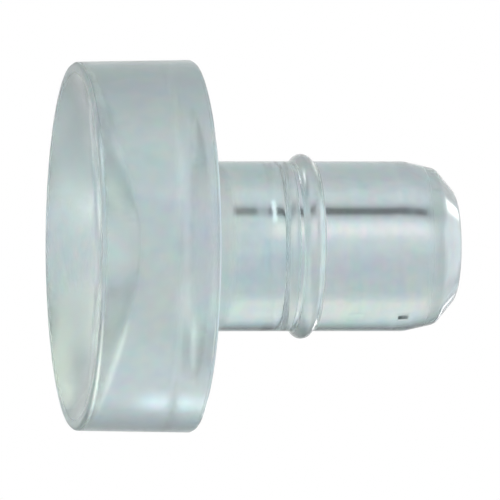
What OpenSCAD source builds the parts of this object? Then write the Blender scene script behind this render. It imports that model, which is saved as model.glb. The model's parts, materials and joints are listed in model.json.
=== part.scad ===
// Shelf support pin, moulded in one piece of clear plastic.
// It is a body of revolution about Z and stands on the front face of its head: a thick round head
// with a dished front, a shank with a gripping bead round it, and a tip that leads into the hole.

/* [Head] */
// Diameter of the head at its rear face, which seats against the cabinet side
head_d = 10.95; // [8:0.05:16]
// Thickness of the head, along the axis
head_t = 3.5; // [2.5:0.1:6]
// Draft angle of the head's side, in degrees, narrower towards the front face
head_draft = 1; // [0:0.25:3]
// Rounding radius of the head's two rims
rim_r = 0.1; // [0.05:0.05:0.4]

/* [Dish] */
// Width of the flat land that is left round the dish in the head's front face
land_w = 0.15; // [0.05:0.05:0.6]
// Depth of the dish at its middle
dish_depth = 1.7; // [0.6:0.05:1.8]
// Rounding radius of the bottom of the dish, whose sides are a cone
dish_r = 3; // [1:0.5:3.5]

/* [Shank] */
// Diameter of the shank, which fills a hole of the same size
shank_d = 5; // [3.5:0.1:7]
// Length of the shank, from the head's rear face to the flat end
shank_len = 7.8; // [6:0.1:14]

/* [Grip bead] */
// Distance from the head's rear face to the middle of the bead
bead_pos = 3.25; // [1:0.05:4.5]
// Radius of the bead's round section
bead_r = 0.3; // [0.2:0.02:0.5]
// Height of the bead above the shank
bead_proud = 0.22; // [0.05:0.01:0.25]

/* [Tip] */
// Length of the slight taper that leads into the hole
taper_len = 0.9; // [0.3:0.1:2]
// How much the taper takes off the shank's radius
taper_drop = 0.2; // [0.05:0.05:0.5]
// Length of the steep chamfer at the end
chamfer_len = 0.6; // [0.2:0.1:1.5]
// How much the chamfer takes off the radius that the taper leaves
chamfer_drop = 0.7; // [0.3:0.05:1]
// Rounding radius of the edge between the taper and the chamfer
neck_edge_r = 0.15; // [0.05:0.05:0.3]
// Rounding radius of the edge between the chamfer and the flat end
end_edge_r = 0.3; // [0.05:0.05:0.4]

/* [Hidden] */
$fn = 128;

rear_r = head_d / 2;
front_r = rear_r - head_t * tan(head_draft);
mouth_r = front_r - rim_r - land_w;
shank_r = shank_d / 2;
end_z = head_t + shank_len;
chamfer_z = end_z - chamfer_len;
taper_z = chamfer_z - taper_len;
neck_r = shank_r - taper_drop;
flat_r = neck_r - chamfer_drop;
bead_z = head_t + bead_pos;

// How deep inside the head the shank's section starts, so that it is clear of the dish
root_depth = 0.5;
root_z = head_t - root_depth;
// How far a round crosses the edges that it blends
hair = 0.0002;

function unit(v) = v / norm(v);

// What a rounding of radius r takes off the corner p between its neighbours a and b. The waste
// reaches as far outside the edges as its centre lies inside them, and its circle crosses both
// edges by a hair, so that no fin is left.
module corner_waste(a, p, b, r) {
    half = acos(unit(a - p) * unit(b - p)) / 2;
    reach = r / tan(half);
    touch_a = p + unit(a - p) * reach;
    touch_b = p + unit(b - p) * reach;
    centre = p + unit(unit(a - p) + unit(b - p)) * (r - hair) / sin(half);
    difference() {
        polygon([centre, 2 * touch_a - centre, 2 * p - centre, 2 * touch_b - centre]);
        translate(centre) circle(r);
    }
}

// Half section of the head: X is the radius and Y runs along the axis
module head_section() {
    front_rim = [front_r, 0];
    rear_rim = [rear_r, head_t];
    difference() {
        polygon([[0, 0], front_rim, rear_rim, [0, head_t]]);
        corner_waste([0, 0], front_rim, rear_rim, rim_r);
        corner_waste(front_rim, rear_rim, [0, head_t], rim_r);
        dish_section();
    }
}

// Half section of the dish: a ball-round bottom, and a cone that leaves it at a tangent for the
// mouth. The cone reaches outside the front face, and the ball crosses the cone by a hair.
module dish_section() {
    mouth = [mouth_r, 0];
    centre = [0, dish_depth - dish_r];
    spoke = mouth - centre;
    turn = atan2(spoke.y, spoke.x) + acos(dish_r / norm(spoke));
    touch = centre + dish_r * [cos(turn), sin(turn)];
    outside = mouth + unit(mouth - touch) * rim_r;
    translate(centre) circle(dish_r + hair);
    polygon([[0, touch.y], touch, outside, [0, outside.y]]);
}

// Half section of the shank and its tip, from inside the head to the flat end
module shank_section() {
    taper_edge = [shank_r, taper_z];
    chamfer_edge = [neck_r, chamfer_z];
    flat_edge = [flat_r, end_z];
    difference() {
        polygon([[0, root_z], [shank_r, root_z], taper_edge, chamfer_edge, flat_edge, [0, end_z]]);
        corner_waste(taper_edge, chamfer_edge, flat_edge, neck_edge_r);
        corner_waste(chamfer_edge, flat_edge, [0, end_z], end_edge_r);
    }
}

// Half section of the bead, whose circle sinks into the shank apart from its crown
module bead_section() {
    translate([shank_r + bead_proud - bead_r, bead_z]) circle(bead_r);
}

module support_pin() {
    color([0.76, 0.83, 0.84, 0.6])
        rotate_extrude() {
            head_section();
            shank_section();
            bead_section();
        }
}

support_pin();
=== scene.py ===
import json
import math

import bpy
import numpy as np
from mathutils import Matrix, Vector


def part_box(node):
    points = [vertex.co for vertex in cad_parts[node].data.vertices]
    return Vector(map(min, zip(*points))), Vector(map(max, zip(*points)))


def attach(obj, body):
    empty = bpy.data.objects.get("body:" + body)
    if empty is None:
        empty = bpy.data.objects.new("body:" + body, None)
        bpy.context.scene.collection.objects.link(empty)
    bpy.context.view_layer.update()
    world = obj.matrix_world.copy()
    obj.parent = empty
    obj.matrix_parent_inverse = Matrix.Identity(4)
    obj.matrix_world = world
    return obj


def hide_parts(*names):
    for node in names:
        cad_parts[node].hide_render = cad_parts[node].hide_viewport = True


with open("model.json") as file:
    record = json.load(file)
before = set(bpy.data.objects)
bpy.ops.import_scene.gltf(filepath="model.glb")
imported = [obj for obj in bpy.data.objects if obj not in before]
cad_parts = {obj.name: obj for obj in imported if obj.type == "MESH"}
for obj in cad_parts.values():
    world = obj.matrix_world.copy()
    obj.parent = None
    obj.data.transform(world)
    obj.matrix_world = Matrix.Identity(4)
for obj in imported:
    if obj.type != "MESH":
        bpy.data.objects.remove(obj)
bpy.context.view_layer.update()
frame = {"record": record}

scene = bpy.context.scene
scene.view_settings.view_transform = "Standard"

# ---------------------------------------------------------------------------------------------
# The support pin: one injection moulding of clear plastic, with a thick round head that is dished
# in front, a shank with a gripping bead and a chamfered tip. The mould is turned, so the pin is made
# from one half section. The mould is polished for the shank and left duller for the head.
# ---------------------------------------------------------------------------------------------

MM = 0.001
mounts = {m["name"]: m for m in frame["record"]["mounts"]}
pin_lo, pin_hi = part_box("support_pin")
length = pin_hi[2] - pin_lo[2]
rear_radius = (pin_hi[0] - pin_lo[0]) / 2
seat_z = mounts["seat_face"]["pos_m"][2]
shank_radius = mounts["pin"]["dims"]["r_mm"] * MM
bead_z = mounts["grip_bead"]["pos_m"][2]
head_draft = math.radians(1)
land_width, rim_round = 0.15 * MM, 0.1 * MM
dish_depth, dish_ball = 1.7 * MM, 3 * MM
bead_section, bead_proud = 0.3 * MM, 0.22 * MM
taper_length, taper_drop = 0.9 * MM, 0.2 * MM
chamfer_length, chamfer_drop = 0.6 * MM, 0.7 * MM
neck_round, end_round = 0.15 * MM, 0.3 * MM
taper_z = length - chamfer_length - taper_length
blunting = 0.03 * MM
dish_points, bead_points, round_points = 30, 40, 12
profile_points, turn_steps = 190, 384


def placed(name, data):
    """Puts an object with this data into the scene."""
    made = bpy.data.objects.new(name, data)
    scene.collection.objects.link(made)
    return made


def dish_outline(mouth_radius):
    """The dish in the front face as (radius, height) rows: an arc of the ball from the deepest point
    to where the cone leaves it at a tangent, and the cone's other end at the mouth."""
    centre = np.array((0, dish_depth - dish_ball))
    spoke = np.array((mouth_radius, 0)) - centre
    touch = math.atan2(spoke[1], spoke[0]) + math.acos(dish_ball / math.hypot(*spoke))
    turn = np.linspace(math.pi / 2, touch, dish_points)
    arc = centre + dish_ball * np.column_stack((np.cos(turn), np.sin(turn)))
    return np.vstack((arc, (mouth_radius, 0)))


def rounded(before, corner, after, radius):
    """The corner between its two neighbours as an arc. Its centre lies radius / sin(half angle) from
    the corner, and it touches both sides radius / tan(half angle) away."""
    corner = np.array(corner)
    back, ahead = np.array(before) - corner, np.array(after) - corner
    back, ahead = back / np.linalg.norm(back), ahead / np.linalg.norm(ahead)
    half = math.acos(back @ ahead) / 2
    middle = corner + (back + ahead) / np.linalg.norm(back + ahead) * radius / math.sin(half)
    start, end = (corner + side * radius / math.tan(half) - middle for side in (back, ahead))
    first = math.atan2(start[1], start[0])
    sweep = (math.atan2(end[1], end[0]) - first + math.pi) % (2 * math.pi) - math.pi
    turn = first + sweep * np.linspace(0, 1, round_points)
    return middle + radius * np.column_stack((np.cos(turn), np.sin(turn)))


def pin_outline():
    """The half section's corners as (radius, height) rows, from the deepest point of the dish to the
    middle of the flat end. The bead is the arc of a circle between its two crossings of the shank."""
    front_radius = rear_radius - seat_z * math.tan(head_draft)
    sunk = bead_section - bead_proud
    half_angle = math.acos(sunk / bead_section)
    turn = np.linspace(-half_angle, half_angle, bead_points)
    bead = np.column_stack((shank_radius - sunk + bead_section * np.cos(turn),
                            bead_z + bead_section * np.sin(turn)))
    mouth = (front_radius - rim_round - land_width, 0)
    front_rim, rear_rim = (front_radius, 0), (rear_radius, seat_z)
    root, taper_start = (shank_radius, seat_z), (shank_radius, taper_z)
    neck = (shank_radius - taper_drop, length - chamfer_length)
    end_edge, end = (neck[0] - chamfer_drop, length), (0, length)
    return np.vstack((dish_outline(mouth[0]), rounded(mouth, front_rim, rear_rim, rim_round),
                      rounded(front_rim, rear_rim, root, rim_round), root, bead, taper_start,
                      rounded(taper_start, neck, end_edge, neck_round),
                      rounded(neck, end_edge, end, end_round), end))


def bell(width, reach):
    """Gaussian weights that sum to one, from -reach to reach steps, with a spread of width steps."""
    weight = np.exp(-0.5 * (np.arange(-reach, reach + 1) / width) ** 2)
    return weight / weight.sum()


def blunt_profile(outline, blur, count):
    """The outline with its corners blunted: points an eighth of the blur apart along it, averaged with
    a Gaussian weight of the blur's width. It is then thinned to count points, whose spacing is one
    over 1 + crowding * bend, where bend is the turning per metre, itself averaged over a short run."""
    steps_a_blur, blur_reach = 8, 32
    bend_width, bend_reach, crowding = 50, 160, 0.00012
    step = blur / steps_a_blur
    run = np.concatenate(([0], np.cumsum(np.hypot(*np.diff(outline, axis=0).T))))
    even = np.arange(0, run[-1], step)
    fine = np.column_stack([np.interp(even, run, outline[:, i]) for i in (0, 1)])
    padded = np.pad(fine, ((blur_reach, blur_reach), (0, 0)), mode="reflect", reflect_type="odd")
    weight = bell(steps_a_blur, blur_reach)
    soft = np.column_stack([np.convolve(padded[:, i], weight, mode="valid") for i in (0, 1)])
    heading = np.unwrap(np.arctan2(*np.gradient(soft, axis=0).T))
    bend = np.convolve(np.abs(np.gradient(heading)) / step, bell(bend_width, bend_reach), mode="same")
    density = 1 + crowding * bend
    share = np.concatenate(([0], np.cumsum((density[1:] + density[:-1]) / 2)))
    pick = np.interp(np.linspace(0, share[-1], count), share, np.arange(len(soft)))
    chosen = np.column_stack([np.interp(pick, np.arange(len(soft)), soft[:, i]) for i in (0, 1)])
    chosen[0, 0] = chosen[-1, 0] = 0
    return chosen


def lathe(name, profile, steps):
    """A closed surface of revolution: point (i, j) is (r_i cos t_j, r_i sin t_j, z_i), with t_j even
    round the turn. The first and last profile points lie on the axis and become single poles."""
    t = np.arange(steps) * (2 * math.pi / steps)
    r, z = profile[1:-1, 0], profile[1:-1, 1]
    rings = np.stack((np.outer(r, np.cos(t)), np.outer(r, np.sin(t)),
                      np.repeat(z[:, None], steps, axis=1)), axis=-1)
    poles = [(0, 0, profile[0, 1]), (0, 0, profile[-1, 1])]
    verts = np.vstack((rings.reshape(-1, 3), poles))
    i, j = np.meshgrid(np.arange(len(r) - 1), np.arange(steps), indexing="ij")
    k = (j + 1) % steps
    quads = np.stack((i * steps + j, i * steps + k,
                      (i + 1) * steps + k, (i + 1) * steps + j), axis=-1)
    j = np.arange(steps)
    k = (j + 1) % steps
    top, front, rear = (len(r) - 1) * steps, len(r) * steps, len(r) * steps + 1
    first = np.column_stack((k, j, np.full(steps, front)))
    last = np.column_stack((top + j, top + k, np.full(steps, rear)))
    mesh = bpy.data.meshes.new(name)
    mesh.from_pydata(verts, [], quads.reshape(-1, 4).tolist() + first.tolist() + last.tolist())
    mesh.shade_smooth()
    return placed(name, mesh)


class Socket:
    """A node's output with arithmetic: an expression on values adds its Math nodes."""

    def __init__(self, material, output):
        self.material, self.output = material, output

    def math(self, operation, a, b=0.0):
        return self.material.math(operation, a, b)

    def __add__(self, other):
        return self.math("ADD", self, other)

    def __radd__(self, other):
        return self.math("ADD", other, self)

    def __sub__(self, other):
        return self.math("SUBTRACT", self, other)

    def __rsub__(self, other):
        return self.math("SUBTRACT", other, self)

    def __mul__(self, other):
        return self.math("MULTIPLY", self, other)

    def __rmul__(self, other):
        return self.math("MULTIPLY", other, self)


class Maker:
    """A node tree that is built by naming each node's type, its settings and its inputs."""

    def __init__(self, owner):
        owner.use_nodes = True
        self.tree = owner.node_tree
        self.tree.nodes.clear()

    def node(self, kind, settings=None, inputs=None, out=0):
        """Adds a node, sets its settings, then gives each input its value or its link."""
        made = self.tree.nodes.new(kind)
        for key, value in (settings or {}).items():
            if key == "stops":
                self.set_stops(made.color_ramp.elements, value)
            else:
                setattr(made, key, value)
        for key, value in (inputs or {}).items():
            if isinstance(value, Socket):
                self.tree.links.new(value.output, made.inputs[key])
            else:
                made.inputs[key].default_value = value
        return Socket(self, made.outputs[out]) if len(made.outputs) else made

    def math(self, operation, a, b=0.0):
        """Adds a Math node on two values."""
        return self.node("ShaderNodeMath", {"operation": operation}, {0: a, 1: b})

    def parts(self, vector):
        """Splits a vector into its x, y and z."""
        split = self.node("ShaderNodeSeparateXYZ", {}, {0: vector}).output.node
        return [Socket(self, output) for output in split.outputs]

    def set_stops(self, elements, stops):
        """Gives a colour ramp its stops, in rising order: each is a place and a grey or a colour."""
        while len(elements) < len(stops):
            elements.new(1.0)
        for element, (place, level) in zip(elements, stops):
            colour = level if isinstance(level, tuple) else (level, level, level)
            element.position, element.color = place, (*colour, 1)


def window(m, value, low, high, soft):
    """One between low and high and zero outside, with a soft step at each end."""
    step = {"interpolation_type": "SMOOTHSTEP"}
    rise = m.node("ShaderNodeMapRange", step, {
        0: value, 1: low - soft, 2: low + soft, 3: 0.0, 4: 1.0})
    fall = m.node("ShaderNodeMapRange", step, {
        0: value, 1: high - soft, 2: high + soft, 3: 1.0, 4: 0.0})
    return rise * fall


def clear_plastic():
    """Tinted clear plastic: polished on the shank, satin on the head, and duller where the mould is
    harder to polish, which is at the front rim, at the foot of the shank, on the bead and at the tip.
    It has flow waves, draw marks along the shank, a grain and clouds of slightly different tint."""
    plastic = bpy.data.materials.new("clear_plastic")
    m = Maker(plastic)
    place = m.node("ShaderNodeTexCoord", out="Object")
    x, y, height = m.parts(place)
    radius = m.math("SQRT", x * x + y * y)
    head = window(m, height, -1 * MM, seat_z, 0.05 * MM)
    rim = (window(m, radius, rear_radius - 0.4 * MM, rear_radius + 1 * MM, 0.06 * MM)
           * window(m, height, -1 * MM, 0.14 * MM, 0.06 * MM))
    foot = window(m, height, seat_z + 0.1 * MM, seat_z + 0.5 * MM, 0.1 * MM)
    ring = window(m, height, bead_z - bead_section, bead_z + bead_section, 0.05 * MM)
    tip = window(m, height, taper_z + 0.45 * MM, length + 1 * MM, 0.3 * MM)
    dull = head * 0.14 + rim * 0.1 + foot * 0.36 + ring * 0.24 + tip * 0.32
    grain = m.node("ShaderNodeTexNoise", {}, {"Vector": place, "Scale": 9000.0, "Detail": 3.0})
    waves = m.node("ShaderNodeTexNoise", {}, {"Vector": place, "Scale": 500.0, "Detail": 1.0})
    clouds, flecks = (m.node("ShaderNodeTexNoise", {}, {
        "Vector": place, "Scale": size, "Detail": 3.0}, out="Color") for size in (450.0, 2600.0))
    stretch = (1, 1, 25)
    drawn = m.node("ShaderNodeMapping", {"vector_type": "TEXTURE"}, {"Vector": place, "Scale": stretch})
    marks = m.node("ShaderNodeTexNoise", {}, {"Vector": drawn, "Scale": 4000.0, "Detail": 2.0})
    relief = grain * (head * 0.5 + 0.2) + marks * (0.25 - head * 0.25) + waves
    relief_depth = 0.00002
    bumped = m.node("ShaderNodeBump", {}, {
        "Height": relief, "Strength": 0.12, "Distance": relief_depth})
    tint = (0.605, 0.716, 0.737, 1)
    for share, patches in ((0.3, clouds), (0.4, flecks)):
        tint = m.node("ShaderNodeMix", {"data_type": "RGBA", "blend_type": "OVERLAY"}, {
            0: share, 6: tint, 7: patches}, out=2)
    surface = m.node("ShaderNodeBsdfPrincipled", {}, {
        "Base Color": tint, "Roughness": dull + 0.04, "IOR": 1.58, "Transmission Weight": 0.93,
        "Coat Weight": ring + tip, "Coat Roughness": 0.06, "Normal": bumped})
    m.node("ShaderNodeOutputMaterial", {}, {"Surface": surface})
    return plastic


profile = blunt_profile(pin_outline(), blunting, profile_points)
pin = lathe("support_pin_moulding", profile, turn_steps)
pin.data.materials.append(clear_plastic())
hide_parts("support_pin")
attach(pin, "root")

# ---------------------------------------------------------------------------------------------
# The studio: a pale floor that the pin stands on, a soft lamp, a white surround, and paper close
# round the pin. The floor shows its top only, because the main view looks up past its edge at the
# head's front face.
# ---------------------------------------------------------------------------------------------

degrees_a_radian = 180 / math.pi
floor_radius, floor_gap, floor_corners = 0.6, 0.00002, 96
fade_middle, fade_half_width = 0.16, 0.11


def pale_floor():
    """A round sheet just under the pin. Its top is a pale matt surface that turns white far from the
    pin, and its underside lets the camera look through."""
    mesh = bpy.data.meshes.new("floor")
    t = np.linspace(0, 2 * math.pi, floor_corners, endpoint=False)
    ring = np.column_stack((np.cos(t), np.sin(t), np.zeros_like(t))) * floor_radius
    ring[:, 2] = -floor_gap
    mesh.from_pydata(ring.tolist(), [], [list(range(floor_corners))])
    made = placed("floor", mesh)
    sheet = bpy.data.materials.new("floor")
    m = Maker(sheet)
    x, y, _ = m.parts(m.node("ShaderNodeTexCoord", out="Object"))
    near = window(m, m.math("SQRT", x * x + y * y), -1.0, fade_middle, fade_half_width)
    matt = m.node("ShaderNodeBsdfDiffuse", {}, {"Color": (0.9, 0.9, 0.9, 1)})
    glow = m.node("ShaderNodeEmission", {}, {"Color": (1, 1, 1, 1), "Strength": 1.0})
    rays = m.node("ShaderNodeLightPath", out="Is Camera Ray")
    lit = m.node("ShaderNodeMixShader", {}, {0: rays * (1 - near * 0.5), 1: matt, 2: glow})
    under = m.node("ShaderNodeNewGeometry", out="Backfacing")
    through = m.node("ShaderNodeBsdfTransparent")
    both = m.node("ShaderNodeMixShader", {}, {0: under, 1: lit, 2: through})
    m.node("ShaderNodeOutputMaterial", {}, {"Surface": both})
    made.data.materials.append(sheet)
    made.visible_transmission = made.visible_glossy = False


def soft_lamp():
    """One large lamp, high up at the side, that gives the pin a soft shadow on the floor. The plastic
    doesn't mirror it or show it."""
    data = bpy.data.lights.new("soft_lamp", "AREA")
    data.shape, data.size, data.energy = "DISK", 0.22, 0.8
    lamp = placed("soft_lamp", data)
    place = Vector((-0.2, -0.16, 0.42))
    lamp.location = place
    lamp.rotation_euler = place.to_track_quat("Z", "Y").to_euler()
    lamp.visible_camera = lamp.visible_glossy = lamp.visible_transmission = False


def bearing_of(m, x, y):
    """The bearing of a direction about the pin in degrees, from +Y towards +X."""
    return m.math("ARCTAN2", x, y) * degrees_a_radian


def bearing_level(m, bearing, stops):
    """Brightness by bearing, looked up in the stops, each of which gives a bearing and its level."""
    places = [((angle + 180) / 360, level) for angle, level in stops]
    return m.node("ShaderNodeValToRGB", {"stops": places}, {0: bearing * (1 / 360) + 0.5})


def blend(m, share, one, other):
    """Mixes two colours: none of the other at a share of 0, nothing else at 1."""
    return m.node("ShaderNodeMix", {"data_type": "RGBA"}, {0: share, 6: one, 7: other}, out=2)


def hung(m, ring, patches):
    """The ring with patches hung over it: each has a colour and two angles, with the range of each and
    the softness of its edges, in degrees."""
    for around, across, rising, upright, soft, colour in patches:
        place = window(m, around, *across, soft) * window(m, rising, *upright, soft)
        ring = blend(m, place, ring, colour)
    return ring


def white_surround():
    """A world that is white to the camera. What the plastic shows of it is the inside of a light tent:
    a ring of soft walls whose level goes by the bearing, with pale and dark cloths above, below and
    beside the pin, each given by its bearings and elevations in degrees. What the plastic's surface
    mirrors is a plainer ring with a few lights, and the floor is lit by a plain level."""
    world = bpy.data.worlds.new("surround")
    scene.world = world
    m = Maker(world)
    x, y, z = m.parts(m.node("ShaderNodeTexCoord", out="Generated"))
    bearing = bearing_of(m, x, y)
    elevation = m.math("ARCSINE", z) * degrees_a_radian
    aside = m.math("ABSOLUTE", bearing)
    steep = m.math("ABSOLUTE", elevation)
    all_round = (-1, 181)
    through = bearing_level(m, bearing, [
        (-140, 1.15), (-110, 0.85), (-90, (0.63, 0.68, 0.69)), (-75, (0.6, 0.64, 0.65)),
        (-55, 0.82), (-45, 0.94), (-35, 0.93), (-20, 0.82), (-10, 0.8), (0, 0.82), (10, 0.82),
        (12.5, 0.9), (15, 0.81), (25, 0.8), (45, 0.63), (55, 0.54), (66, (0.43, 0.47, 0.46)),
        (78, (0.4, 0.45, 0.45)), (95, (0.55, 0.6, 0.6)), (110, 0.75), (140, 1.15)])
    cloths = [(aside, all_round, elevation, (58, 91), 6, (1.15, 1.15, 1.12, 1)),
              (bearing, (-181, -60), elevation, (50, 91), 5, (0.4, 0.42, 0.42, 1)),
              (aside, all_round, elevation, (77, 91), 5, (0.5, 0.52, 0.52, 1)),
              (aside, all_round, elevation, (-91, -70), 4, (0.4, 0.43, 0.4, 1)),
              (aside, (-1, 35), elevation, (-70, -41), 4, (0.5, 0.55, 0.52, 1)),
              (aside, (82, 135), elevation, (-75, -4), 4, (1.15, 1.15, 1.1, 1)),
              (aside, (140, 181), elevation, (-68, -12), 8, (1.0, 1.03, 1.05, 1)),
              (bearing, (132, 164), elevation, (-68, -12), 12, (2.5, 2.5, 2.3, 1)),
              (aside, (-1, 22), elevation, (-37, -14), 4, (1.15, 1.17, 1.17, 1)),
              (bearing, (92, 138), elevation, (14, 55), 6, (0.96, 0.98, 0.97, 1)),
              (bearing, (118, 142), elevation, (24, 42), 4, (1.3, 1.3, 1.28, 1)),
              (bearing, (60, 165), elevation, (44, 66), 4, (0.5, 0.53, 0.5, 1)),
              (bearing, (-150, -88), elevation, (-40, 16), 6, (1.75, 1.75, 1.5, 1)),
              (bearing, (-150, -98), elevation, (20, 42), 5, (1.55, 1.5, 1.15, 1)),
              (bearing, (-97, -82), elevation, (18, 42), 4, (2.9, 2.8, 2.1, 1)),
              (bearing, (-75, -18), elevation, (18, 38), 3, (2.3, 2.15, 1.9, 1)),
              (bearing, (34, 75), steep, (18, 38), 3, (0.42, 0.44, 0.44, 1)),
              (bearing, (-60, -22), elevation, (-36, -16), 4, (1.1, 1.1, 1.1, 1)),
              (bearing, (21, 31), elevation, (-38, -29), 3, (2.4, 2.4, 2.4, 1)),
              (bearing, (-64, -42), elevation, (-10, 8), 2, (1.15, 1.1, 1.04, 1))]
    mirrored = bearing_level(m, bearing, [
        (-110, 0.4), (-60, 0.5), (-20, 0.72), (0, 0.8), (15, 0.5), (30, 0.22), (60, 0.22), (110, 0.35)])
    lights = [(aside, all_round, elevation, (56, 91), 6, (1.1, 1.15, 1.2, 1)),
              (bearing, (-30, -20), elevation, (46, 56), 2, (4, 4, 4, 1)),
              (bearing, (16, 24), elevation, (25, 33), 2, (4, 4, 4, 1)),
              (bearing, (-74, -58), elevation, (-42, -28), 4, (5, 5, 5, 1))]
    through, mirrored = hung(m, through, cloths), hung(m, mirrored, lights)
    plain, white = (0.62, 0.62, 0.62, 1), (1, 1, 1, 1)
    seen = plain
    for kind, level in (("Is Glossy Ray", mirrored), ("Is Transmission Ray", through),
                        ("Is Camera Ray", white)):
        seen = blend(m, m.node("ShaderNodeLightPath", out=kind), seen, level)
    shade = m.node("ShaderNodeBackground", {}, {"Color": seen, "Strength": 1.0})
    m.node("ShaderNodeOutputWorld", {}, {"Surface": shade})


def bent_sheet(name, away, bearings, heights, soft, colour):
    """A sheet bent round the axis of the pin at one distance and lit from behind, which only the
    plastic sees. It thins out at its edges, over soft in degrees and in height. Its colour is one
    value, or a function of the node maker, the bearing in degrees and the height, which also gives
    how much is there. Point (i, j) is (away sin t_i, away cos t_i, z_j), with two heights z_j."""
    (left, right), (low, high), (turn, rise) = bearings, heights, soft
    degrees_a_step = 2.5
    columns = max(2, int((right - left + 2 * turn) / degrees_a_step))
    t = np.radians(np.linspace(left - turn, right + turn, columns))
    foot = np.column_stack((np.sin(t) * away, np.cos(t) * away))
    rows = [np.column_stack((foot, np.full(columns, height))) for height in (low - rise, high + rise)]
    k = np.arange(columns - 1)
    faces = np.column_stack((k, k + 1, k + 1 + columns, k + columns))
    mesh = bpy.data.meshes.new(name)
    mesh.from_pydata(np.vstack(rows).tolist(), [], faces.tolist())
    made = placed(name, mesh)
    paper = bpy.data.materials.new(name)
    m = Maker(paper)
    x, y, z = m.parts(m.node("ShaderNodeTexCoord", out="Object"))
    bearing = bearing_of(m, x, y)
    cover = window(m, bearing, left, right, turn) * window(m, z, low, high, rise)
    if callable(colour):
        colour, whole = colour(m, bearing, z)
        cover = cover * whole
    glow = m.node("ShaderNodeEmission", {}, {"Color": colour, "Strength": 1.0})
    clear = m.node("ShaderNodeBsdfTransparent")
    edged = m.node("ShaderNodeMixShader", {}, {0: cover, 1: clear, 2: glow})
    m.node("ShaderNodeOutputMaterial", {}, {"Surface": edged})
    made.data.materials.append(paper)
    made.visible_camera = made.visible_diffuse = made.visible_glossy = made.visible_shadow = False


def shank_stripes(m, bearing, height):
    """The stripes of the screen that the shank draws out into bands along its length. Towards its foot
    the light one fades and the dark one weakens, breaks once and has a glint across it. A small hole
    in the screen lets one dark wedge show."""
    stripes = bearing_level(m, bearing, [
        (-85, 0.95), (-73, 0.8), (-66, 0.12), (-60, 0.15), (-55, 0.4), (-49, (0.62, 0.7, 0.68)),
        (-42, 1.0), (-35, (1.2, 1.14, 1.08)), (-24, (1.2, 1.12, 1.05)), (-20, 0.9), (-17, 0.8),
        (-9, (0.76, 0.75, 0.78)), (-3.5, (0.8, 0.78, 0.81)), (-1, 0.9), (2.3, 0.97),
        (3.5, (1.25, 1.16, 1.12)), (6.2, (1.34, 1.23, 1.18)), (7.4, 1.1), (8.8, 0.9), (9.7, 0.75),
        (10.5, 0.42), (11.1, 0.15), (12.7, 0.14), (13.4, 0.38), (14.6, 0.75), (16.4, 0.88), (20, 0.92),
        (25, 0.78), (33, 0.66), (47, (0.58, 0.62, 0.62)), (61, 0.6), (85, 0.7)])
    light_foot = window(m, height, 5 * MM, 7.2 * MM, 0.4 * MM) * window(m, bearing, -1, 9, 1.5)
    dark_foot = window(m, height, 5 * MM, 7.2 * MM, 0.2 * MM) * window(m, bearing, 10, 16, 1)
    gap = window(m, height, 6.75 * MM, 7.1 * MM, 0.08 * MM) * window(m, bearing, 10, 16, 1)
    glint = window(m, height, 7.2 * MM, 7.34 * MM, 0.05 * MM) * window(m, bearing, 8, 17, 1.5)
    for share, grey in ((light_foot * 0.85, 0.84), (dark_foot * 0.2, 0.85), (gap * 0.5, 0.85),
                        (glint, 1.4)):
        stripes = blend(m, share, stripes, (grey, grey, grey, 1))
    hole = (window(m, bearing, -41.6, -32.3, 0.6)
            * window(m, height, 9.75 * MM, 10.25 * MM, 0.03 * MM))
    return stripes, 1 - hole


def light_band(m, bearing, height):
    """The screen's own light band as it goes on behind the hole, so that the hole doesn't show straight
    through the shank."""
    return bearing_level(m, bearing, [(-45.5, 1.0), (-38.4, (1.2, 1.14, 1.08))]), 1.0


def dark_wedge(m, bearing, height):
    """A dark wedge that grows upwards from a point, with one side upright."""
    slant = bearing - (height * (1 / MM) - 10) * 11
    return (0.0, 0.02, 0.02, 1), window(m, slant, -90, -38.8, 0.4)


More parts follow.
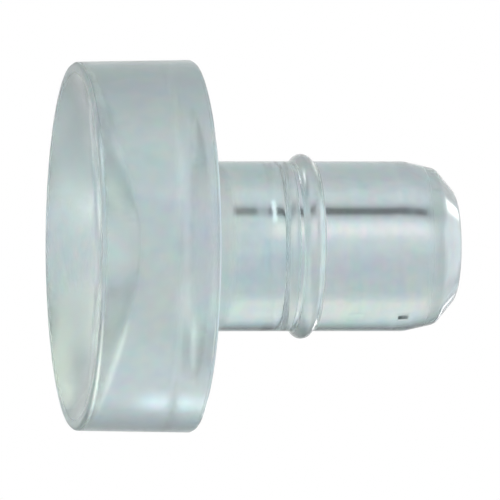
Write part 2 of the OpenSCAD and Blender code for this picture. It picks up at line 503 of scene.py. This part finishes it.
def paper_round_the_pin():
    """Two screens close round the shank, of which the low one's stripes draw the dark line and the
    light bands along it, and small soft-edged cards further out, round the shank and the head. Each
    has its bearings and heights, how soft its edges are across and upwards, and its colour, with
    angles in degrees and lengths in millimetres."""
    screens = {"low_screen": ((-100, 100), (6.05, 11.5), (10, 0.1), shank_stripes),
               "upper_screen": ((-70, 4), (11.65, 14.2), (8, 0.1), (0.95, 0.97, 0.95, 1))}
    cards = {"lower_card": ((-32, -25), (4.3, 4.9), (3, 0.3), (2.4, 2.5, 2.6, 1)),
             "lower_seat_card": ((-32, -25), (1.35, 2.3), (3, 0.3), (2.4, 2.5, 2.6, 1)),
             "band_card": ((-60, -22), (10.235, 11.0), (1, 0.02), light_band),
             "wedge_card": ((-42.5, -30), (9.6, 10.175), (0.4, 0.02), dark_wedge),
             "green_card": ((-1.2, 1.8), (4.1, 4.95), (1.2, 0.2), (0.74, 0.88, 0.8, 1)),
             "dark_card": ((-15, -9), (1.2, 2.3), (3, 0.3), (0.5, 0.52, 0.52, 1)),
             "pale_card": ((-7.5, -3.5), (1.2, 2.3), (1.5, 0.2), (1.15, 1.15, 1.08, 1))}
    for away, sheets in ((9 * MM, screens), (12 * MM, cards)):
        for name, (bearings, (low, high), (turn, rise), colour) in sheets.items():
            bent_sheet(name, away, bearings, (low * MM, high * MM), (turn, rise * MM), colour)


def main_camera():
    """A long lens at right angles to the pin but for the sink, by which it looks up at the front face.
    It is turned on its side, so that the pin lies across the frame with its head at the left."""
    sink, field, distance, sensor = math.radians(9.8), 14.7 * MM, 0.45, 36.0
    past_seat, below_axis = 1.748 * MM, 0.11 * MM
    data = bpy.data.cameras.new("camera")
    data.sensor_width, data.lens = sensor, sensor * distance / field
    data.clip_start, data.clip_end = 0.01, 5.0
    camera = placed("camera", data)
    towards = np.array((0, math.cos(sink), math.sin(sink)))
    right = np.array((0, -math.sin(sink), math.cos(sink)))
    up = np.array((-1.0, 0, 0))
    aim = np.array((0, 0, seat_z + past_seat)) - up * below_axis
    place = aim - towards * distance
    matrix = np.eye(4)
    matrix[:3, 0], matrix[:3, 1], matrix[:3, 2], matrix[:3, 3] = right, up, -towards, place
    camera.matrix_world = Matrix(matrix.tolist())
    scene.camera = camera


scene.cycles.max_bounces = 96
scene.cycles.transmission_bounces = 96
scene.cycles.glossy_bounces = 96
pale_floor()
soft_lamp()
white_surround()
paper_round_the_pin()
main_camera()
